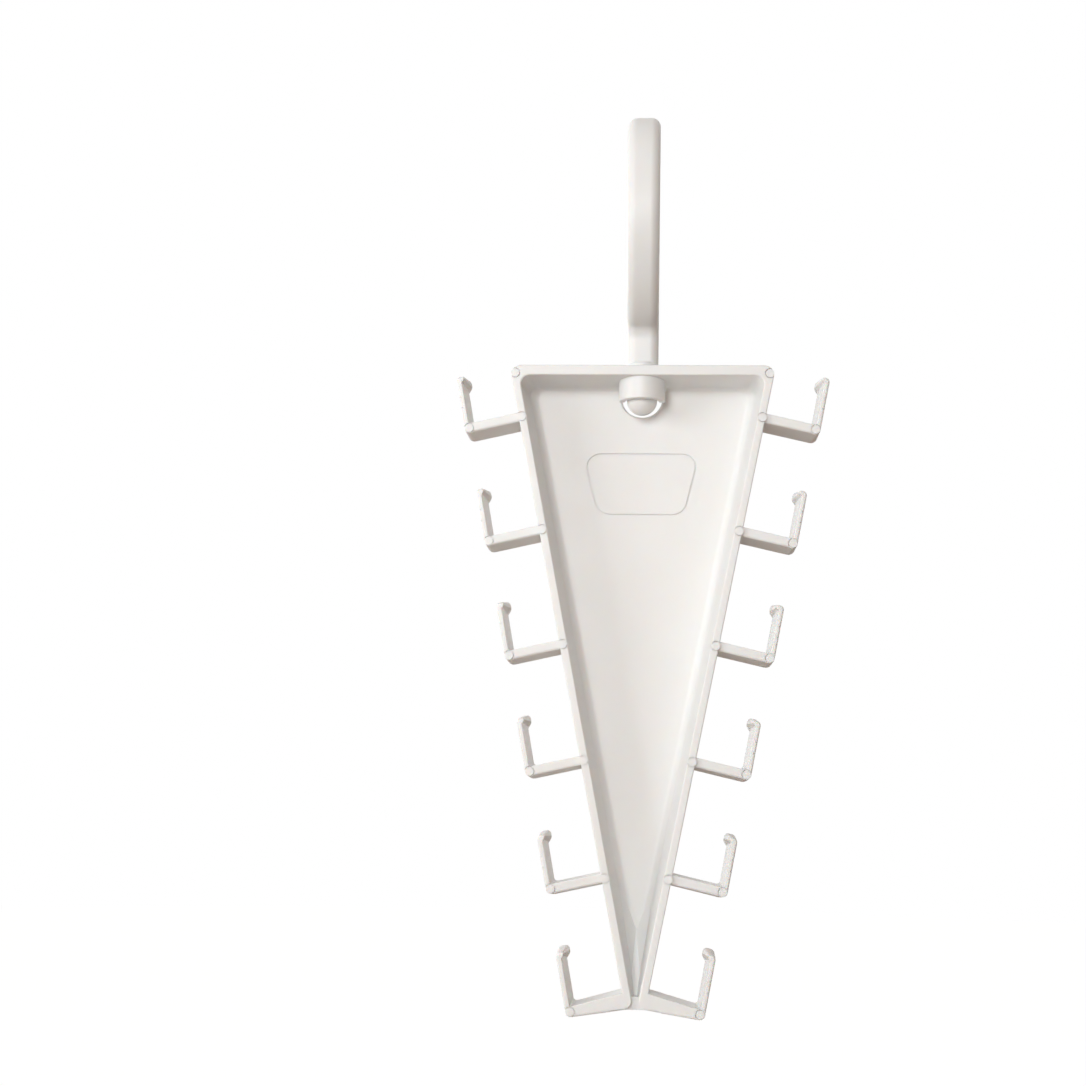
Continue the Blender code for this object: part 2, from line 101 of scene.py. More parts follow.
# %% [markdown]
# ## Tools of the modelling bench
# A moulding is made of plates with rounded corners, of bodies that grow from one outline to the next, and
# of turned shapes. The bench has one helper for each. An outline starts as one face with sharp corners,
# and a vertex bevel rounds each of them, which is quicker to read than points worked out on arcs.

# %% Faces with rounded corners
CORNER_STEPS = 8


def round_corner(shape, vert, radius, steps=CORNER_STEPS):
    """Round one corner of a lone face. A vertex bevel's width is measured along the two sides."""
    ways = [edge.other_vert(vert).co - vert.co for edge in vert.link_edges]
    width = radius / math.tan(ways[0].angle(ways[1]) / 2)
    made = bmesh.ops.bevel(shape, geom=[vert], offset=width, offset_type="OFFSET", segments=steps,
                           profile=0.5, affect="VERTICES", material=-1)
    return made["verts"][0].link_faces[0]


def standing_face(shape, corners, radii, depth, steps=CORNER_STEPS):
    """A face in the front view at a depth, given by its corners (x, z) and their radii."""
    verts = [shape.verts.new((x, depth, z)) for x, z in corners]
    face = shape.faces.new(verts)
    for vert, radius in zip(verts, radii):
        if radius > 0:
            face = round_corner(shape, vert, radius, steps)
    return face


# %% [markdown]
# Between two outlines a body grows by bridging. A row of faces becomes a closed body when each is bridged
# to the next and the faces between the ends are taken out.

# %% Bodies between outlines
def skin(shape, faces):
    """Close a body over a row of faces, of which the first and the last stay as its ends."""
    for near, far in zip(faces, faces[1:]):
        bmesh.ops.bridge_loops(shape, edges=list(near.edges) + list(far.edges))
    bmesh.ops.delete(shape, geom=faces[1:-1], context="FACES_ONLY")


def whole(face):
    """A face with its edges and corners, as extrude and spin want it when the face itself moves on."""
    return [face] + list(face.edges) + list(face.verts)


def far_face(geometry):
    """The face at the far end of what an operator has made."""
    return next(item for item in geometry if isinstance(item, bmesh.types.BMFace))


def pull(shape, face, way):
    """Extrude a face by a vector and return its new place."""
    grown = bmesh.ops.extrude_face_region(shape, geom=whole(face))["geom"]
    moved = far_face(grown)
    bmesh.ops.translate(shape, verts=moved.verts, vec=way)
    return moved


# %% [markdown]
# Each body becomes an object of its own. Bodies that are one moulding on the real thing are joined with
# exact Booleans, and the result is baked to one mesh, so that no seam shows and no helper is left.

# %% Objects, joins and cuts
MERGE_DISTANCE = 0.0005 * MM
SMOOTH_ANGLE = 32 * DEGREE
JOIN, CUT = "UNION", "DIFFERENCE"


def as_object(name, shape):
    """Put a bmesh in the scene under a name, with its faces turned outwards."""
    bmesh.ops.remove_doubles(shape, verts=shape.verts, dist=MERGE_DISTANCE)
    bmesh.ops.recalc_face_normals(shape, faces=shape.faces)
    mesh = bpy.data.meshes.new(name)
    shape.to_mesh(mesh)
    shape.free()
    item = bpy.data.objects.new(name, mesh)
    bpy.context.scene.collection.objects.link(item)
    return item


def combine(body, tools):
    """Join tools on or cut them out, in their order, then bake the result and remove the tools."""
    for tool, operation in tools:
        step = body.modifiers.new(tool.name, "BOOLEAN")
        step.operation = operation
        step.solver = "EXACT"
        step.object = tool
    bpy.context.view_layer.update()
    worked = body.evaluated_get(bpy.context.evaluated_depsgraph_get())
    baked = bpy.data.meshes.new_from_object(worked)
    body.modifiers.clear()
    body.data = baked
    for tool, _ in tools:
        bpy.data.objects.remove(tool, do_unlink=True)


def dress_edges(body):
    """Shade flat faces flat and round stretches round, also beside the small roundings."""
    body.data.shade_smooth()
    body.data.set_sharp_from_angle(angle=SMOOTH_ANGLE)
    weigh = body.modifiers.new("even shading", "WEIGHTED_NORMAL")
    weigh.keep_sharp = True


def open_edges(body):
    """How many edges don't have two faces, which is 0 for a closed moulding."""
    shape = bmesh.new()
    shape.from_mesh(body.data)
    count = sum(len(edge.link_faces) != 2 for edge in shape.edges)
    shape.free()
    return count


# %% [markdown]
# ## The tray
# The rack's middle is a shallow tray, open to the front: a plate with its rear edges well rounded, hollowed
# by a pocket whose walls run into its floor with a wide fillet. Both have the same taper. The pocket is a
# triangle, because its walls meet in a sharp valley above the foot, and the valley climbs as the fillet
# draws the walls together. A ready-made inset can't follow that, so the outline is written as corners for
# any inset, and the body is bridged from inset to inset.

# %% The taper
TRAY_TOP_WIDTH = 86.6 * MM
TRAY_BOTTOM_WIDTH = 6.3 * MM
CORNER_RADIUS = 3.2 * MM
FOOT_RADIUS = 0.4 * MM
tray_low, tray_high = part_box("tray")
TRAY_TOP, TRAY_BOTTOM = tray_high.z, tray_low.z
FRONT, BACK = tray_low.y, tray_high.y
SIDE_SLOPE = (TRAY_TOP_WIDTH - TRAY_BOTTOM_WIDTH) / 2 / (TRAY_TOP - TRAY_BOTTOM)
SIDE_ANGLE = math.atan(SIDE_SLOPE)


def side_x(z):
    """Half the tray's outer width at a height."""
    return TRAY_TOP_WIDTH / 2 + (z - TRAY_TOP) * SIDE_SLOPE


def plate_face(shape, inset, depth):
    """The tray's outer outline, moved in."""
    across = inset / math.cos(SIDE_ANGLE)
    top, bottom = TRAY_TOP - inset, TRAY_BOTTOM + inset
    half_top, half_bottom = side_x(top) - across, side_x(bottom) - across
    corners = [(-half_top, top), (-half_bottom, bottom), (half_bottom, bottom), (half_top, top)]
    return standing_face(shape, corners, [CORNER_RADIUS, FOOT_RADIUS, FOOT_RADIUS, CORNER_RADIUS], depth)


def pocket_face(shape, side_inset, top_inset, depth):
    """The pocket's outline: a triangle that ends where its two long sides meet."""
    across = side_inset / math.cos(SIDE_ANGLE)
    top = TRAY_TOP - top_inset
    valley = TRAY_TOP - (TRAY_TOP_WIDTH / 2 - across) / SIDE_SLOPE
    half_top = side_x(top) - across
    return standing_face(shape, [(-half_top, top), (0, valley), (half_top, top)],
                         [CORNER_RADIUS, 0, CORNER_RADIUS], depth)


print("tray:", round((TRAY_TOP - TRAY_BOTTOM) / MM, 1), "mm high")

# %% [markdown]
# A moulding has no sharp edge, so that it fills well and leaves its mould. A bevel over the whole outline
# would meet the very acute foot badly. So a rounded edge is made of outlines that step in along a quarter
# circle, and the body is bridged over them.

# %% A quarter round in steps
def quarter(radius, steps):
    """How deep and how far in each step of a rounded edge lies, from the face inwards."""
    turns = [math.pi / 2 * step / steps for step in range(steps + 1)]
    return [(radius * (1 - math.cos(turn)), radius * (1 - math.sin(turn))) for turn in turns]


# %% The plate
BACK_EDGE_RADIUS = 2.2 * MM
RIM_EDGE_RADIUS = 0.4 * MM
EDGE_STEPS = 4
BACK_EDGE_STEPS = 8


def tray_plate():
    """The outside of the tray, as a full plate."""
    shape = bmesh.new()
    faces = [plate_face(shape, inset, FRONT + depth) for depth, inset in quarter(RIM_EDGE_RADIUS, EDGE_STEPS)]
    rounding = quarter(BACK_EDGE_RADIUS, BACK_EDGE_STEPS)
    back = [plate_face(shape, inset, BACK - depth) for depth, inset in rounding]
    skin(shape, faces + back[::-1])
    return as_object("rack_moulding", shape)


rack = tray_plate()
print("plate:", len(rack.data.polygons), "faces")

# %% [markdown]
# The pocket is what the mould's core fills. Its walls stand out a little towards the front, so that the core
# can be drawn off, and a wide fillet leads them into the floor. Its mouth grows past the rim's front, where
# the cut leaves the rim's inner edge rounded. The top wall leans less than the long ones.

# %% The pocket
RIM_WIDTH = 2.6 * MM
TOP_WALL = 3.3 * MM
WALL_DRAFT = 1.8 * MM
FLOOR_FILLET = 2.7 * MM
TOP_SHARE = 0.55
FLOOR_THICKNESS = 1.7 * MM
FLOOR_FRONT = BACK - FLOOR_THICKNESS
FILLET_STEPS = 14
OVERRUN = 2.0 * MM


def tray_pocket():
    """The hollow of the tray: a flared mouth, drafted walls, and a fillet down to the floor."""
    rows = [(-RIM_EDGE_RADIUS, FRONT - OVERRUN)]
    rows += [(-inset, FRONT + depth) for depth, inset in quarter(RIM_EDGE_RADIUS, EDGE_STEPS)]
    rows += [(WALL_DRAFT + reach, FLOOR_FRONT - rise) for reach, rise in quarter(FLOOR_FILLET, FILLET_STEPS)]
    shape = bmesh.new()
    faces = []
    for inset, depth in rows:
        top_inset = TOP_WALL + inset * (TOP_SHARE if inset > 0 else 1)
        faces.append(pocket_face(shape, RIM_WIDTH + inset, top_inset, depth))
    skin(shape, faces)
    return as_object("pocket", shape)


pocket = tray_pocket()
print("pocket:", [round(size / MM, 1) for size in pocket.dimensions], "mm")

# %% [markdown]
# ## The foot
# The two rims run on to the foot, where a low web joins them. It stands a little behind their front, and
# their inner edges turn outwards below it. The web is a plate between the rims, and the turned edges come
# from one cutter whose inner corners are rounded.

# %% The web and its mouth
BOTTOM_WALL = 4.0 * MM
WEB_RECESS = 1.5 * MM
WEB_LIFT = 0.05 * MM
WEB_IN_RIM = 1.2 * MM
WEB_MOUTH_RADIUS = 2.8 * MM
WEB_MOUTH_WIDTH = 7.0 * MM
WEB_MOUTH_RISE = 0.8 * MM
WEB_MOUTH_FALL = 0.95 * MM


def foot_web():
    """The plate between the rims, with its ends inside them."""
    low, high = TRAY_BOTTOM + WEB_LIFT, TRAY_BOTTOM + BOTTOM_WALL
    half_low, half_high = side_x(low) - WEB_IN_RIM, side_x(high) - WEB_IN_RIM
    shape = bmesh.new()
    face = standing_face(shape, [(-half_high, high), (-half_low, low), (half_low, low), (half_high, high)],
                         [0] * 4, FRONT + WEB_RECESS)
    pull(shape, face, Vector((0, FLOOR_FRONT - FRONT, 0)))
    return as_object("web", shape)


def foot_mouth():
    """The cutter that turns the rims' inner edges outwards in front of the web."""
    low, high = TRAY_BOTTOM + WEB_MOUTH_RISE, TRAY_BOTTOM + 2 * BOTTOM_WALL
    half_high, half_low = [side_x(z) - RIM_WIDTH / math.cos(SIDE_ANGLE) for z in (high, low)]
    right = [(half_high, high), (half_low, low), (half_low + WEB_MOUTH_WIDTH, low - WEB_MOUTH_FALL),
             (half_low + WEB_MOUTH_WIDTH, TRAY_BOTTOM - OVERRUN)]
    left = [(-x, z) for x, z in right[::-1]]
    shape = bmesh.new()
    face = standing_face(shape, right + left, [0, WEB_MOUTH_RADIUS, 0, 0, 0, 0, WEB_MOUTH_RADIUS, 0],
                         FRONT - OVERRUN)
    pull(shape, face, Vector((0, OVERRUN + WEB_RECESS, 0)))
    return as_object("foot_mouth", shape)


web, mouth = foot_web(), foot_mouth()
print("web:", [round(size / MM, 1) for size in web.dimensions], "mm")

# %% [markdown]
# Towards the foot the two walls come so close that their inner faces meet in a groove, which gets shallow
# just behind the web. The piece that fills it is a plate with a notch in its upper edge. Its upper corners
# and the notch are moved back into the floor, so the groove starts there, and its lower edge stays in front
# and sinks only at the middle. Cuts from the notch to the lower corners make its front four flat faces.

# %% The rising floor
RISE_LENGTH = 60.0 * MM
GROOVE_LENGTH = 22.0 * MM
RISE_BEHIND_FRONT = 4.0 * MM
GROOVE_BEHIND_FRONT = 4.6 * MM
RISE_IN_FLOOR = 0.5 * MM
RISE_IN_WALL = 1.3 * MM


def rising_floor():
    """The groove's filling between the walls, thickest at the web."""
    low = TRAY_BOTTOM + BOTTOM_WALL / 2
    high = low + RISE_LENGTH
    half_low, half_high = side_x(low) - RISE_IN_WALL, side_x(high) - RISE_IN_WALL
    depth = FLOOR_FRONT + RISE_IN_FLOOR - FRONT - RISE_BEHIND_FRONT
    shape = bmesh.new()
    corners = [(0, low + GROOVE_LENGTH), (-half_high, high), (-half_low, low), (0, low), (half_low, low),
               (half_high, high)]
    face = standing_face(shape, corners, [0] * 6, FLOOR_FRONT + RISE_IN_FLOOR)
    front = pull(shape, face, Vector((0, -depth, 0)))
    back = [vert for vert in front.verts if vert.co.z > low + GROOVE_LENGTH / 2]
    foot = [vert for vert in front.verts if vert not in back]
    notch = min(back, key=lambda vert: vert.co.z)
    middle = min(foot, key=lambda vert: abs(vert.co.x))
    bmesh.ops.translate(shape, verts=back, vec=(0, depth - RISE_IN_FLOOR / 2, 0))
    bmesh.ops.translate(shape, verts=[middle], vec=(0, GROOVE_BEHIND_FRONT - RISE_BEHIND_FRONT, 0))
    for vert in foot:
        bmesh.ops.connect_verts(shape, verts=[notch, vert])
    return as_object("rise", shape)


rise = rising_floor()
print("rising floor:", [round(size / MM, 1) for size in rise.dimensions], "mm")

# %% [markdown]
# ## The socket
# The hook's head hangs under the top wall in a bore. In front a half-round band holds it, and behind it
# the floor is open, so that the mould could reach under the wall. The hook is snapped in from the back
# through a slot that is narrower than its journal. Round things are turned: a profile is spun about an
# axis, which keeps them true and their steps even.

# %% Turned bodies
TURN_STEPS = 72


def turned(shape, profile, closed=False, steps=TURN_STEPS):
    """Spin a profile of (radius, height) points about the vertical axis. Returns the new vertices."""
    before = set(shape.verts)
    verts = [shape.verts.new((radius, 0, height)) for radius, height in profile]
    pairs = list(zip(verts, verts[1:])) + ([(verts[-1], verts[0])] if closed else [])
    edges = [shape.edges.new(pair) for pair in pairs]
    bmesh.ops.spin(shape, geom=verts + edges, cent=(0, 0, 0), axis=(0, 0, 1), angle=2 * math.pi,
                   steps=steps, use_merge=True, use_duplicate=False)
    made = [vert for vert in shape.verts if vert not in before]
    bmesh.ops.remove_doubles(shape, verts=made, dist=MERGE_DISTANCE)
    return [vert for vert in shape.verts if vert not in before]


# %% [markdown]
# The band is a short drum round the bore, of which only the front half is left, so that it can be moulded.
# A full drum is turned and cut along a plane, and the cut is closed.

# %% The band
HEAD_RADIUS = 5.0 * MM
HEAD_CLEARANCE = 0.4 * MM
SOCKET_WALL = 2.2 * MM
SOCKET_HEIGHT = 7.3 * MM
SOCKET_ROOT = 0.8 * MM
SOCKET_BEHIND_AXIS = 0.4 * MM
BAND_EDGE_RADIUS = 0.5 * MM
BORE_RADIUS = HEAD_RADIUS + HEAD_CLEARANCE
SOCKET_RADIUS = BORE_RADIUS + SOCKET_WALL
WALL_UNDERSIDE = TRAY_TOP - TOP_WALL
SOCKET_BOTTOM = WALL_UNDERSIDE - SOCKET_HEIGHT


def socket_band():
    """The front half of a drum with a rounded lower edge, hung from the top wall."""
    rounding = quarter(BAND_EDGE_RADIUS, EDGE_STEPS)
    edge = [(SOCKET_RADIUS - inset, SOCKET_BOTTOM + depth) for depth, inset in rounding]
    top = WALL_UNDERSIDE + SOCKET_ROOT
    shape = bmesh.new()
    turned(shape, [(0, SOCKET_BOTTOM)] + edge + [(SOCKET_RADIUS, top), (0, top)])
    cut = bmesh.ops.bisect_plane(shape, geom=shape.verts[:] + shape.edges[:] + shape.faces[:],
                                 plane_co=(0, SOCKET_BEHIND_AXIS, 0), plane_no=(0, 1, 0), clear_outer=True)
    rim = [item for item in cut["geom_cut"] if isinstance(item, bmesh.types.BMEdge)]
    bmesh.ops.holes_fill(shape, edges=rim, sides=0)
    return as_object("socket_band", shape)


band = socket_band()
print("band:", [round(size / MM, 1) for size in band.dimensions], "mm")

# %% [markdown]
# Four cutters make room for the hook: the bore for its head, the window in the floor behind it, and the slot
# in the top wall, which is a round seat with a straight way in from behind. The window's front edge is
# flared, and the white behind shows through it as a crescent below the head.

# %% The bore, the window and the slot
BORE_MOUTH = 0.4 * MM
JOURNAL_RADIUS = 3.5 * MM
SWIVEL_CLEARANCE = 0.3 * MM
SNAP_LIP = 0.4 * MM
WINDOW_INSET = 0.3 * MM
WINDOW_BEHIND_AXIS = 1.0 * MM
WINDOW_BELOW_SEAT = 0.3 * MM
WINDOW_BELOW_SOCKET = 3.6 * MM
WINDOW_RADIUS = 6.5 * MM
WINDOW_FLARE = 0.6 * MM


def head_room():
    """The bore for the hook's head, with a small chamfer at its mouth."""
    wide, low = BORE_RADIUS + BORE_MOUTH, SOCKET_BOTTOM - OVERRUN
    bore_side = [(BORE_RADIUS, WALL_UNDERSIDE), (BORE_RADIUS, SOCKET_BOTTOM + BORE_MOUTH)]
    shape = bmesh.new()
    turned(shape, [(0, WALL_UNDERSIDE)] + bore_side + [(wide, SOCKET_BOTTOM), (wide, low), (0, low)])
    return as_object("head_room", shape)


def floor_window():
    """The opening in the floor behind the head."""
    half = SOCKET_RADIUS - WINDOW_INSET - WINDOW_FLARE
    high, low = WALL_UNDERSIDE - WINDOW_BELOW_SEAT, SOCKET_BOTTOM - WINDOW_BELOW_SOCKET
    shape = bmesh.new()
    faces = []
    for depth, flare in ((WINDOW_BEHIND_AXIS, WINDOW_FLARE), (FLOOR_FRONT, WINDOW_FLARE),
                         (FLOOR_FRONT + WINDOW_FLARE, 0), (BACK + OVERRUN, 0)):
        corners = [(-half - flare, high), (-half - flare, low - flare), (half + flare, low - flare),
                   (half + flare, high)]
        radius = WINDOW_RADIUS + flare
        faces.append(standing_face(shape, corners, [0, radius, radius, 0], depth))
    skin(shape, faces)
    return as_object("floor_window", shape)


def journal_seat():
    """The round of the slot in the top wall."""
    seat = JOURNAL_RADIUS + SWIVEL_CLEARANCE
    low, high = WALL_UNDERSIDE - OVERRUN, TRAY_TOP + OVERRUN
    shape = bmesh.new()
    turned(shape, [(0, low), (seat, low), (seat, high), (0, high)])
    return as_object("journal_seat", shape)


def journal_way():
    """The straight way in from behind, narrow enough to hold the journal."""
    half = JOURNAL_RADIUS - SNAP_LIP
    shape = bmesh.new()
    face = standing_face(shape, [(-half, TRAY_TOP + OVERRUN), (-half, WALL_UNDERSIDE - OVERRUN),
                                 (half, WALL_UNDERSIDE - OVERRUN), (half, TRAY_TOP + OVERRUN)], [0] * 4, 0)
    pull(shape, face, Vector((0, BACK + OVERRUN, 0)))
    return as_object("journal_way", shape)


bore, window, seat, way_in = head_room(), floor_window(), journal_seat(), journal_way()
print("bore:", round(2 * BORE_RADIUS / MM, 1), "mm across")

# %% [markdown]
# ## The label place
# The floor carries the fine outline of a label, which is left bare. It is a shallow groove: the outline
# as a face, inset by the groove's width, and the ring between the two extruded into the floor.

# %% The groove
LABEL_DROP = 26.4 * MM
LABEL_HEIGHT = 20.9 * MM
LABEL_TOP_WIDTH = 39.2 * MM
LABEL_BOTTOM_WIDTH = 28.6 * MM
LABEL_RADIUS = 5.0 * MM
LABEL_LINE_WIDTH = 0.6 * MM
LABEL_LINE_DEPTH = 0.5 * MM


def label_line():
    """The ring that is cut into the floor."""
    high, low = TRAY_TOP - LABEL_DROP, TRAY_TOP - LABEL_DROP - LABEL_HEIGHT
    half_high, half_low = LABEL_TOP_WIDTH / 2, LABEL_BOTTOM_WIDTH / 2
    shape = bmesh.new()
    face = standing_face(shape, [(-half_high, high), (-half_low, low), (half_low, low), (half_high, high)],
                         [LABEL_RADIUS] * 4, FLOOR_FRONT + LABEL_LINE_DEPTH)
    ring = bmesh.ops.inset_region(shape, faces=[face], thickness=LABEL_LINE_WIDTH, use_even_offset=True,
                                  use_boundary=True)["faces"]
    bmesh.ops.delete(shape, geom=[face], context="FACES_ONLY")
    grown = bmesh.ops.extrude_face_region(shape, geom=ring)["geom"]
    front = [item for item in grown if isinstance(item, bmesh.types.BMVert)]
    bmesh.ops.translate(shape, verts=front, vec=(0, -LABEL_LINE_DEPTH - OVERRUN, 0))
    return as_object("label_line", shape)


label = label_line()
print("label line:", round(LABEL_LINE_WIDTH / MM, 2), "mm wide")

# %% [markdown]
# ## The arms
# Each arm is a bar that runs out and down from the rim, and a thin upright that leans out and ends in a
# lip, so that a strap can't slide off. In the front view it is one outline of eight corners. The arm grows
# thicker and its lip grows longer towards the back, as the mould half in front has to be drawn off it. Its
# outer edges are well rounded, so the outline is moved in towards the front and the back as well, and the
# arm is bridged over all these outlines.

# %% The arm's corners
ARM_REACH = 16.6 * MM
ARM_DROP_ANGLE = 12.8 * DEGREE
ARM_THICKNESS = 3.0 * MM
UPRIGHT_LEAN = 10.4 * DEGREE
ROOT_IN_RIM = 1.2 * MM
LAST_REACH = 17.2 * MM
LAST_DROP_ANGLE = 15.6 * DEGREE
LAST_HEIGHT_EXTRA = 1.4 * MM
LAST_ROOT_EXTRA = 2.35 * MM
FRONT_SHAPE = {"thickness": 1.6, "height": 17.3, "lip": 0.75, "nose": 0.6, "lip_root": 1.3, "tip_round": 1.35,
               "nose_round": 0.3, "lip_round": 0.3, "elbow_round": 1.6, "inner_round": 0.5, "drop": 0.0}
REAR_SHAPE = {"thickness": 2.6, "height": 18.2, "lip": 1.4, "nose": 2.2, "lip_root": 3.8, "tip_round": 1.8,
              "nose_round": 1.2, "lip_round": 0.8, "elbow_round": 2.2, "inner_round": 1.1, "drop": 1.1}
SIDE_WAY = Vector((math.sin(SIDE_ANGLE), math.cos(SIDE_ANGLE)))
UP_WAY = Vector((math.sin(UPRIGHT_LEAN), math.cos(UPRIGHT_LEAN)))
UP_OUT = -UP_WAY.orthogonal()


def arm_form(grown):
    """The arm's sizes between its front, at 0, and its back, at 1."""
    return {name: (size * (1 - grown) + REAR_SHAPE[name] * grown) * MM for name, size in FRONT_SHAPE.items()}


def elbow_place(last):
    """The middle of the elbow, seen from the middle of the root."""
    reach, angle = (LAST_REACH, LAST_DROP_ANGLE) if last else (ARM_REACH, ARM_DROP_ANGLE)
    return Vector((reach * math.cos(angle), -reach * math.sin(angle)))


def crossing(point_a, way_a, point_b, way_b):
    """Where two lines of the front view meet."""
    across = way_a.x * way_b.y - way_a.y * way_b.x
    apart = point_b - point_a
    return point_a + way_a * ((apart.x * way_b.y - apart.y * way_b.x) / across)


def arm_corners(form, edge, outside, last):
    """The eight corners of a right-hand arm, moved in by its rounded edges, and their radii."""
    elbow = elbow_place(last)
    bar = elbow.normalized()
    up = bar.orthogonal()
    outer = elbow + UP_OUT * (ARM_THICKNESS / 2 - outside)
    inner = elbow + UP_OUT * (ARM_THICKNESS / 2 - form["thickness"] + edge)
    below = -up * (ARM_THICKNESS / 2 + form["drop"] - outside)
    above = up * (ARM_THICKNESS / 2 - edge)
    root = Vector((-ROOT_IN_RIM, 0))
    extra = SIDE_WAY * (LAST_ROOT_EXTRA if last else 0)
    top = form["height"] + (LAST_HEIGHT_EXTRA if last else 0) - outside
    nose = inner - UP_OUT * form["lip"]
    corners = [crossing(below, bar, root, SIDE_WAY) - extra, crossing(below, bar, outer, UP_WAY),
               outer + UP_WAY * top, nose + UP_WAY * top, nose + UP_WAY * (top - form["nose"]),
               inner + UP_WAY * (top - form["lip_root"]), crossing(above, bar, inner, UP_WAY),
               crossing(above, bar, root, SIDE_WAY)]
    radii = [0, form["elbow_round"] - outside, form["tip_round"] - outside, form["nose_round"] - edge,
             form["lip_round"] - edge, form["lip_round"] + edge, form["inner_round"] + edge, 0]
    return corners, radii


print("arm root to elbow:", round(ARM_REACH / MM, 1), "mm")

# %% [markdown]
# All twelve arms have one form, and only the last pair is a little longer and taller. A mirrored copy of an
# object would do for the left side, but the same function with the side's sign gives one mesh at once. The
# rounded outer edge needs outlines close together near the front and the back, and few between them.

# %% Twelve arms in one mesh
TIERS = 6
ARM_PITCH = 37.0 * MM
FIRST_ARM_DROP = 17.15 * MM
ARM_DEPTH = 12.0 * MM
ARM_SETBACK = 1.0 * MM
ARM_EDGE_RADIUS = 0.22 * MM
OUTER_EDGE_RADIUS = 0.7 * MM
ARM_CORNER_STEPS = 6
EDGE_SHARES = (0, 0.04, 0.1, 0.18, 0.28, 0.4, 0.6, 1)


def rounded_inset(radius, depth):
    """How far an edge of some radius stands in at a depth behind the face."""
    left = max(radius - depth, 0)
    return radius - math.sqrt(radius ** 2 - left ** 2)


def arm_root(tier):
    """Whether an arm is the last of its side, the height of its root and the place of its front."""
    last = tier == TIERS - 1
    return last, TRAY_TOP - FIRST_ARM_DROP - tier * ARM_PITCH, FRONT + (0 if last else ARM_SETBACK)


def arm(shape, side, tier):
    """One arm, at its root on the tray's side."""
    last, z, front = arm_root(tier)
    back = FRONT + ARM_SETBACK + ARM_DEPTH
    steps = [share * OUTER_EDGE_RADIUS for share in EDGE_SHARES]
    rows = [(front + step, step) for step in steps] + [(back - step, step) for step in steps[::-1]]
    faces = []
    for depth, step in rows:
        form = arm_form((depth - front) / (back - front))
        edge, outside = rounded_inset(ARM_EDGE_RADIUS, step), rounded_inset(OUTER_EDGE_RADIUS, step)
        corners, radii = arm_corners(form, edge, outside, last)
        placed = [(side * (side_x(z) + point.x), z + point.y) for point in corners]
        faces.append(standing_face(shape, placed, radii, depth, ARM_CORNER_STEPS))
    skin(shape, faces)


def all_arms():
    """Six arms down each side."""
    shape = bmesh.new()
    for side in (-1, 1):
        for tier in range(TIERS):
            arm(shape, side, tier)
    return as_object("arms", shape)


arms = all_arms()
print("arms:", len(arms.data.polygons), "faces")

# %% [markdown]
# ## Ejector marks
# Round pins push the moulding out of its mould, at the roots and elbows of the arms and in the corners of
# the rim. Each leaves a disc with a fine line round it. Flat blades push at the middle of the uprights,
# where a fine slit shows at both ends of each. A picture could fake such lines, but real ones catch the
# light from every side: the discs are joined on a little proud, and thin rings are cut round them.

# %% Discs, rings and blades
MARK_RADIUS = 1.35 * MM
MARK_PROUD = 0.08 * MM
MARK_DEPTH = 1.5 * MM
MARK_LINE_WIDTH = 0.32 * MM
MARK_LINE_DEPTH = 0.62 * MM
MARK_STEPS = 28
ROOT_MARK_INSET = 1.0 * MM
CORNER_MARK_INSET = 2.0 * MM
CORNER_MARK_DROP = 2.7 * MM
BLADE_LENGTH = 3.6 * MM
BLADE_RISE = 8.8 * MM
BLADE_REACH = 1.3 * MM
BLADE_LINE = 0.3 * MM
BLADE_LINE_DEPTH = 0.6 * MM


def mark_places():
    """Where the pins stood: (x, front of the face, z) on the right-hand side."""
    places = [(side_x(TRAY_TOP) - CORNER_MARK_INSET, FRONT, TRAY_TOP - CORNER_MARK_DROP)]
    for tier in range(TIERS):
        last, z, front = arm_root(tier)
        elbow = elbow_place(last)
        places.append((side_x(z) + elbow.x, front, z + elbow.y))
        if not last:
            places.append((side_x(z) - ROOT_MARK_INSET, FRONT, z))
    return places


def marks(name, profile, closed):
    """The same small turned body at every pin's place, on both sides."""
    shape = bmesh.new()
    lay = Matrix.Rotation(90 * DEGREE, 4, "X")
    for x, depth, z in mark_places():
        for side in (-1, 1):
            verts = turned(shape, profile, closed, MARK_STEPS)
            bmesh.ops.transform(shape, matrix=Matrix.Translation((side * x, depth, z)) @ lay, verts=verts)
    return as_object(name, shape)


def blades():
    """The flat ejectors' marks: a slit at both ends of each blade, in the upright's outer front edge."""
    shape = bmesh.new()
    for side in (-1, 1):
        lean = Matrix.Rotation(side * UPRIGHT_LEAN, 4, "Y")
        for tier in range(TIERS):
            last, z, front = arm_root(tier)
            for end in (-BLADE_LENGTH / 2, BLADE_LENGTH / 2):
                middle = elbow_place(last) + UP_OUT * (ARM_THICKNESS / 2) + UP_WAY * (BLADE_RISE + end)
                made = bmesh.ops.create_cube(shape, size=1)["verts"]
                bmesh.ops.scale(shape, vec=(BLADE_REACH, 2 * BLADE_LINE_DEPTH, BLADE_LINE), verts=made)
                place = Matrix.Translation((side * (side_x(z) + middle.x), front, z + middle.y))
                bmesh.ops.transform(shape, matrix=place @ lean, verts=made)
    return as_object("blades", shape)


inner, outer = MARK_RADIUS, MARK_RADIUS + MARK_LINE_WIDTH
disc_profile = [(0, MARK_PROUD), (inner, MARK_PROUD), (inner, -MARK_DEPTH), (0, -MARK_DEPTH)]
ring_profile = [(inner, OVERRUN), (outer, OVERRUN), (outer, -MARK_LINE_DEPTH), (inner, -MARK_LINE_DEPTH)]
discs = marks("discs", disc_profile, False)
rings = marks("rings", ring_profile, True)
flat_marks = blades()
print("marks:", len(mark_places()) * 2)

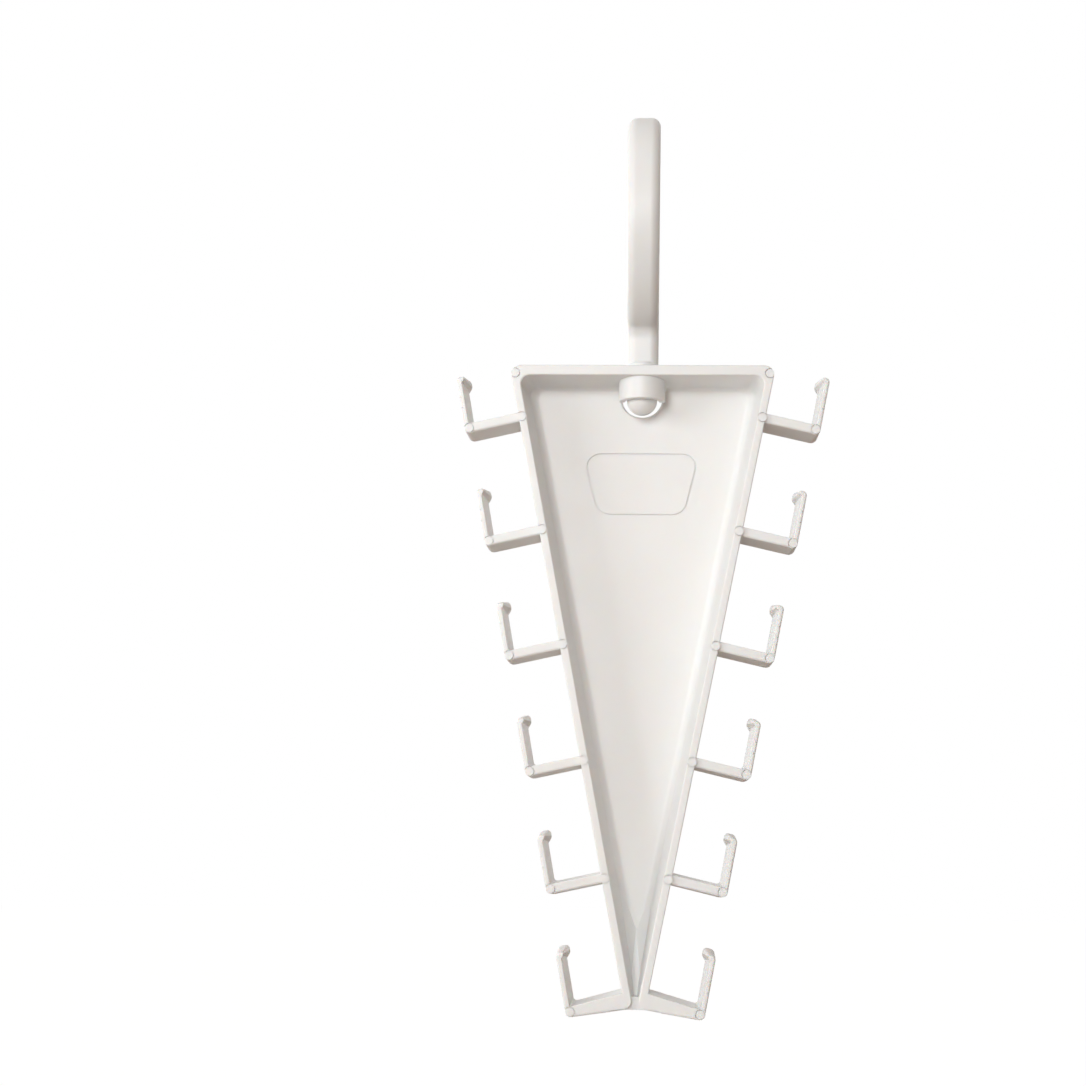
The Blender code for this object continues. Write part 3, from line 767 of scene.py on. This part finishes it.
# %% [markdown]
# ## The rack in one piece
# On the real thing all of this is one shot of plastic, so it is joined here. The order matters: first the
# hollow and the window, then what stands in them, then the cuts for the hook and the label. The arms come
# after that, so that nothing cuts them, and the foot's mouth and the marks come last, as they cut them.

# %% Join the rack
combine(rack, [(pocket, CUT), (window, CUT), (rise, JOIN), (web, JOIN), (band, JOIN), (bore, CUT),
               (seat, CUT), (way_in, CUT), (label, CUT), (arms, JOIN), (mouth, CUT), (flat_marks, CUT),
               (discs, JOIN), (rings, CUT)])
print("rack:", len(rack.data.polygons), "faces,", open_edges(rack), "open edges")
dress_edges(rack)
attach(rack, "rack")
arm_nodes = [f"{word}_arm_{tier + 1}" for word in ("left", "right") for tier in range(TIERS)]
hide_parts("tray", *arm_nodes)

# %% [markdown]
# ## The hook
# The hook is a bar of one rounded section, swept up the neck, back round a short bend and then round the
# loop, and drawn down to a rounded tip. A spin sweeps a face round a centre, so the whole path is three
# pulls: straight up, one spin each way, and a last spin in steps that shrink the face as they go.

# %% The bar of the hook
HOOK_THICKNESS = 9.0 * MM
HOOK_WIDTH = 10.5 * MM
HOOK_CORNER_RADIUS = 3.0 * MM
ROD_ROOM_RADIUS = 26.5 * MM
NECK_BEND_RADIUS = 8.5 * MM
TIP_ANGLE = 8.0 * DEGREE
TAPER_ANGLE = 70.0 * DEGREE
TIP_SHARE = 0.72
TIP_END_SHARE = 0.12
COLLAR_HEIGHT = 0.9 * MM
COLLAR_FILLET = 0.9 * MM
SECTION_STEPS = 10
BEND_STEPS = 20
LOOP_STEPS = 72
TAPER_STEPS = 28
TIP_STEPS = 8
LOOP_RADIUS = ROD_ROOM_RADIUS + HOOK_THICKNESS / 2
LOOP_CENTRE = Vector((0, 0, -ROD_ROOM_RADIUS))
COLLAR_SEAT = TRAY_TOP + SWIVEL_CLEARANCE


def hook_section(shape):
    """The rounded section of the bar, lying level on the swivel axis."""
    verts = bmesh.ops.create_grid(shape, x_segments=1, y_segments=1, size=0.5)["verts"]
    bmesh.ops.scale(shape, vec=(HOOK_WIDTH, HOOK_THICKNESS, 1), verts=verts)
    for vert in verts:
        face = round_corner(shape, vert, HOOK_CORNER_RADIUS, SECTION_STEPS)
    return face


def shrink(shape, face, ratio):
    """Scale a face about its own centre."""
    middle = face.calc_center_bounds()
    bmesh.ops.scale(shape, vec=(ratio,) * 3, verts=face.verts, space=Matrix.Translation(-middle))


def swing(shape, face, centre, angle, steps):
    """Sweep a face about a level axis through a centre, and return its new place."""
    swept = bmesh.ops.spin(shape, geom=whole(face), cent=centre, axis=(1, 0, 0), angle=angle, steps=steps,
                           use_duplicate=False)
    return far_face(swept["geom_last"])


def hook_bar():
    """The neck, the bend, the loop and the tapered tip."""
    reach = LOOP_RADIUS + NECK_BEND_RADIUS
    bend_angle = math.acos(NECK_BEND_RADIUS / reach)
    bend_centre = LOOP_CENTRE - Vector((0, NECK_BEND_RADIUS, math.sqrt(reach ** 2 - NECK_BEND_RADIUS ** 2)))
    start = COLLAR_SEAT + COLLAR_HEIGHT / 2
    shape = bmesh.new()
    face = hook_section(shape)
    bmesh.ops.translate(shape, verts=face.verts, vec=(0, 0, start))
    face = pull(shape, face, Vector((0, 0, bend_centre.z - start)))
    face = swing(shape, face, bend_centre, bend_angle, BEND_STEPS)
    face = swing(shape, face, LOOP_CENTRE, TAPER_ANGLE - TIP_ANGLE - bend_angle - math.pi, LOOP_STEPS)
    for step in range(TAPER_STEPS):
        before, after = [1 - (1 - TIP_SHARE) * (step + one) / TAPER_STEPS for one in (0, 1)]
        face = swing(shape, face, LOOP_CENTRE, -TAPER_ANGLE / TAPER_STEPS, 1)
        shrink(shape, face, after / before)
    way = Vector((0, -math.sin(TIP_ANGLE), -math.cos(TIP_ANGLE)))
    rounding = [(math.sin(turn), TIP_END_SHARE + (1 - TIP_END_SHARE) * math.cos(turn)) for turn in
                [math.pi / 2 * step / TIP_STEPS for step in range(TIP_STEPS + 1)]]
    for (near, wide), (far, narrow) in zip(rounding, rounding[1:]):
        face = pull(shape, face, way * (HOOK_THICKNESS / 2 * TIP_SHARE * (far - near)))
        shrink(shape, face, narrow / wide)
    return as_object("hook_moulding", shape)


hook = hook_bar()
print("hook bar:", [round(size / MM, 1) for size in hook.dimensions], "mm")

# %% [markdown]
# Below the neck the hook is turned: a collar that rests on the tray, the journal in the slot, and the
# round head that carries the rack. A slit lets the head spring as it is snapped into its bore.

# %% Collar, journal and head
COLLAR_RADIUS = 6.1 * MM
HEAD_STRAIGHT = 6.4 * MM
HEAD_CHAMFER = 0.6 * MM
SLIT_WIDTH = 1.4 * MM
SLIT_IN_JOURNAL = 2.0 * MM
COLLAR_EDGE = 0.3 * MM
HEAD_STEPS = 20
HEAD_SHOULDER = WALL_UNDERSIDE - SWIVEL_CLEARANCE
HEAD_CENTRE = HEAD_SHOULDER - HEAD_STRAIGHT


def journal():
    """The turned lower end of the hook."""
    top = COLLAR_SEAT + COLLAR_HEIGHT + COLLAR_FILLET
    flare = [(COLLAR_RADIUS - COLLAR_FILLET + depth, top - COLLAR_FILLET + inset) for depth, inset in
             quarter(COLLAR_FILLET, EDGE_STEPS)]
    ball = [(HEAD_RADIUS * math.cos(turn), HEAD_CENTRE - HEAD_RADIUS * math.sin(turn)) for turn in
            [math.pi / 2 * step / HEAD_STEPS for step in range(HEAD_STEPS)]]
    collar = [(COLLAR_RADIUS, COLLAR_SEAT + COLLAR_EDGE), (COLLAR_RADIUS - COLLAR_EDGE, COLLAR_SEAT)]
    neck = [(JOURNAL_RADIUS, COLLAR_SEAT), (JOURNAL_RADIUS, HEAD_SHOULDER)]
    shoulder = [(HEAD_RADIUS - HEAD_CHAMFER, HEAD_SHOULDER), (HEAD_RADIUS, HEAD_SHOULDER - HEAD_CHAMFER)]
    shape = bmesh.new()
    turned(shape, [(0, top)] + flare + collar + neck + shoulder + ball + [(0, HEAD_CENTRE - HEAD_RADIUS)])
    return as_object("journal", shape)


def head_slit():
    """The slit across the head, open at the bottom."""
    low, high = HEAD_CENTRE - HEAD_RADIUS - OVERRUN, HEAD_SHOULDER + SLIT_IN_JOURNAL
    shape = bmesh.new()
    made = bmesh.ops.create_cube(shape, size=1)["verts"]
    bmesh.ops.scale(shape, vec=(2 * HEAD_RADIUS + OVERRUN, SLIT_WIDTH, high - low), verts=made)
    bmesh.ops.translate(shape, verts=made, vec=(0, 0, (low + high) / 2))
    return as_object("head_slit", shape)


combine(hook, [(journal(), JOIN), (head_slit(), CUT)])
print("hook:", len(hook.data.polygons), "faces,", open_edges(hook), "open edges")
dress_edges(hook)
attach(hook, "hook")
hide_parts("swivel_hook")

# %% [markdown]
# ## Satin plastic
# Both mouldings are ivory-white plastic with a satin skin. Up close its colour isn't quite even, and its
# gloss changes a little where the mould was polished less. The skin has a fine grain, and under it a very
# slow waviness from shrinking. All of it is procedural, on Object coordinates, so that it has no seams.
# A small class lets Python write the shader's sums.

# %% Sums of sockets
class Wire:
    """An output socket of a node tree. Sums, differences and products of wires add Math nodes."""

    def __init__(self, tree, socket=None):
        self.tree = tree
        self.socket = socket

    def node(self, kind, settings=None, sockets=None, output=0):
        """Add a node of a kind: first its settings, then the values or links of its sockets."""
        made = self.tree.nodes.new(kind)
        for name, value in (settings or {}).items():
            setattr(made, name, value)
        for name, value in (sockets or {}).items():
            if isinstance(value, Wire):
                self.tree.links.new(value.socket, made.inputs[name])
            else:
                made.inputs[name].default_value = value
        return Wire(self.tree, made.outputs[output])

    def math(self, operation, first, second):
        """Add a Math node for two values or wires."""
        return self.node("ShaderNodeMath", {"operation": operation}, {0: first, 1: second})

    def __add__(self, other):
        return self.math("ADD", self, other)

    def __radd__(self, other):
        return self.math("ADD", other, self)

    def __sub__(self, other):
        return self.math("SUBTRACT", self, other)

    def __rsub__(self, other):
        return self.math("SUBTRACT", other, self)

    def __mul__(self, other):
        return self.math("MULTIPLY", self, other)

    def __rmul__(self, other):
        return self.math("MULTIPLY", other, self)

    def between(self, first, second):
        """A colour from the first, where this wire is 0, to the second, where it is 1."""
        return self.node("ShaderNodeMix", {"data_type": "RGBA"}, {0: self, 6: first, 7: second}, output=2)


# %% [markdown]
# Thin white plastic lets light through: it enters the lit face and leaves a little further on, warmer than
# it came. That softens the shadows inside the tray, and subsurface scattering does it. The four noises have
# scales far apart, so that each does one thing: mottling, gloss, waviness and grain.

# %% The plastic
IVORY = (0.79, 0.792, 0.785, 1)
IVORY_DEEP = (0.765, 0.764, 0.75, 1)
PLASTIC_IOR = 1.49
SATIN_ROUGHNESS = 0.42
GLOW_SHARE = 0.4
GLOW_DEPTH = 2.5 * MM
GLOW_TINT = (1.0, 0.62, 0.42)
NOISE_ROUGHNESS = 0.55
MOTTLING_SCALE = 38
MOTTLING_GAIN = 1.6
MOTTLING_START = 0.3
GLOSS_SCALE = 90
GLOSS_RANGE = 0.16
GRAIN_SCALE = 5200
GRAIN_GLOSS_RANGE = 0.06
WAVE_SCALE = 240
WAVE_SHARE = 0.7
BUMP_STRENGTH = 0.35
BUMP_HEIGHT = 0.04 * MM


def satin_plastic(name, colour, deep_colour):
    """A moulded plastic with slow mottling, uneven gloss, fine grain and a slight waviness."""
    material = bpy.data.materials.new(name)
    material.use_nodes = True
    tree = material.node_tree
    shader = tree.nodes["Principled BSDF"]
    place = Wire(tree).node("ShaderNodeTexCoord", output=3)

    def noise(scale, detail):
        """A noise between 0 and 1 that is fixed to the piece."""
        return place.node("ShaderNodeTexNoise", {"noise_dimensions": "3D"},
                          {"Vector": place, "Scale": scale, "Detail": detail, "Roughness": NOISE_ROUGHNESS})

    mottling, grain, waves = noise(MOTTLING_SCALE, 3), noise(GRAIN_SCALE, 2), noise(WAVE_SCALE, 1)
    base = (mottling * MOTTLING_GAIN - MOTTLING_START).between(colour, deep_colour)
    uneven = (noise(GLOSS_SCALE, 2) - 0.5) * GLOSS_RANGE
    roughness = SATIN_ROUGHNESS + uneven + (grain - 0.5) * GRAIN_GLOSS_RANGE
    height = waves * WAVE_SHARE + grain * (1 - WAVE_SHARE)
    bump = height.node("ShaderNodeBump", {},
                       {"Strength": BUMP_STRENGTH, "Distance": BUMP_HEIGHT, "Height": height})
    tree.links.new(base.socket, shader.inputs["Base Color"])
    tree.links.new(roughness.socket, shader.inputs["Roughness"])
    tree.links.new(bump.socket, shader.inputs["Normal"])
    shader.inputs["IOR"].default_value = PLASTIC_IOR
    shader.inputs["Subsurface Weight"].default_value = GLOW_SHARE
    shader.inputs["Subsurface Scale"].default_value = GLOW_DEPTH
    shader.inputs["Subsurface Radius"].default_value = GLOW_TINT
    return material


for piece, name in ((rack, "rack_satin"), (hook, "hook_satin")):
    piece.data.materials.clear()
    piece.data.materials.append(satin_plastic(name, IVORY, IVORY_DEEP))
print("materials:", [material.name for material in bpy.data.materials if "satin" in material.name])

# %% [markdown]
# ## Studio
# The photograph shows the object against white, lit from the left. Broad lamps stand in front and to the
# left, one of them a little behind the object, so that the sides that face left are bright and those that
# face right or down are shaded. Small or hard lamps would draw edges into the shadows that the photograph
# doesn't have.

# %% Lamps
def area_lamp(name, place, aim, width, power, colour=(1, 1, 1)):
    """A square soft lamp that faces a point."""
    lamp = bpy.data.lights.new(name, "AREA")
    lamp.shape = "SQUARE"
    lamp.size = width
    lamp.energy = power
    lamp.color = colour
    item = bpy.data.objects.new(name, lamp)
    bpy.context.scene.collection.objects.link(item)
    item.location = place
    item.rotation_euler = (Vector(aim) - Vector(place)).to_track_quat("-Z", "Y").to_euler()
    return item


MIDDLE = (0, 0, -0.14)
COOL = (0.97, 1, 1.02)
area_lamp("key", (-0.34, -1.4, 0.1), MIDDLE, 0.45, 10.1, COOL)
area_lamp("side", (-1.25, -0.75, 0.06), MIDDLE, 0.6, 8.0, COOL)
area_lamp("back", (-1.25, 0.95, 0.1), MIDDLE, 0.8, 9.0, COOL)
area_lamp("top", (-0.3, -0.5, 1.1), MIDDLE, 0.8, 1.2)

# %% [markdown]
# The world gives the warm, soft fill that makes the shadows brown. A white world would wash them out, so
# only the camera, reflections and see-through paths find plain white, which adds no light to the object.

# %% World
WORLD_FILL = 0.34
WARM = (1, 0.84, 0.72, 1)
WHITE = (1, 1, 1, 1)
world = bpy.data.worlds.new("white studio")
world.use_nodes = True
bpy.context.scene.world = world
tree = world.node_tree
tree.nodes.clear()
start = Wire(tree)
seen = [start.node("ShaderNodeLightPath", output=name) for name in
        ("Is Camera Ray", "Is Glossy Ray", "Is Transmission Ray")]
plain = start.math("MINIMUM", seen[0] + seen[1] + seen[2], 1)
fill = start.node("ShaderNodeBackground", {}, {"Color": WARM, "Strength": WORLD_FILL})
white = start.node("ShaderNodeBackground", {}, {"Color": WHITE, "Strength": 1})
sky = start.node("ShaderNodeMixShader", {}, {0: plain, 1: fill, 2: white})
surface = tree.nodes.new("ShaderNodeOutputWorld")
tree.links.new(sky.socket, surface.inputs["Surface"])
print("fill:", WORLD_FILL)

# %% [markdown]
# A matt floor lies far below the hanging object. It takes the object's shadow and sends warm light back up
# from below, and to the camera it shines a little, so that it is as white as the backdrop.

# %% Floor
FLOOR_HEIGHT = -0.75
FLOOR_RADIUS = 6.0
FLOOR_STEPS = 96
FLOOR_COLOUR = (0.62, 0.57, 0.53, 1)
FLOOR_GLOW = 1.15
GLOW_SEEN = 0.85
shape = bmesh.new()
bmesh.ops.create_circle(shape, cap_ends=True, segments=FLOOR_STEPS, radius=FLOOR_RADIUS)
bmesh.ops.translate(shape, verts=shape.verts, vec=(0, 0, FLOOR_HEIGHT))
floor = as_object("studio_floor", shape)
paint = bpy.data.materials.new("white_floor")
paint.use_nodes = True
tree = paint.node_tree
start = Wire(tree)
matt = start.node("ShaderNodeBsdfDiffuse", {}, {"Color": FLOOR_COLOUR})
glow = start.node("ShaderNodeEmission", {}, {"Color": WHITE, "Strength": FLOOR_GLOW})
camera_ray = start.node("ShaderNodeLightPath", output="Is Camera Ray")
look = start.node("ShaderNodeMixShader", {}, {0: camera_ray * GLOW_SEEN, 1: matt, 2: glow})
tree.links.new(look.socket, tree.nodes["Material Output"].inputs["Surface"])
floor.data.materials.append(paint)
floor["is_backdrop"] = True

bpy.context.scene.view_settings.view_transform = "Standard"
print("floor at", FLOOR_HEIGHT, "m")

# %% [markdown]
# Last, both boxes are printed: that of the imported solids, taken at the start, and that of the finished
# looks. They show at once whether the looks have left the solids' size.

# %% Print both boxes and finish
model_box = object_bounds()
in_mm = [[round(value / MM, 1) for corner in box for value in corner] for box in (cad_box, model_box)]
print("boxes:", in_mm)
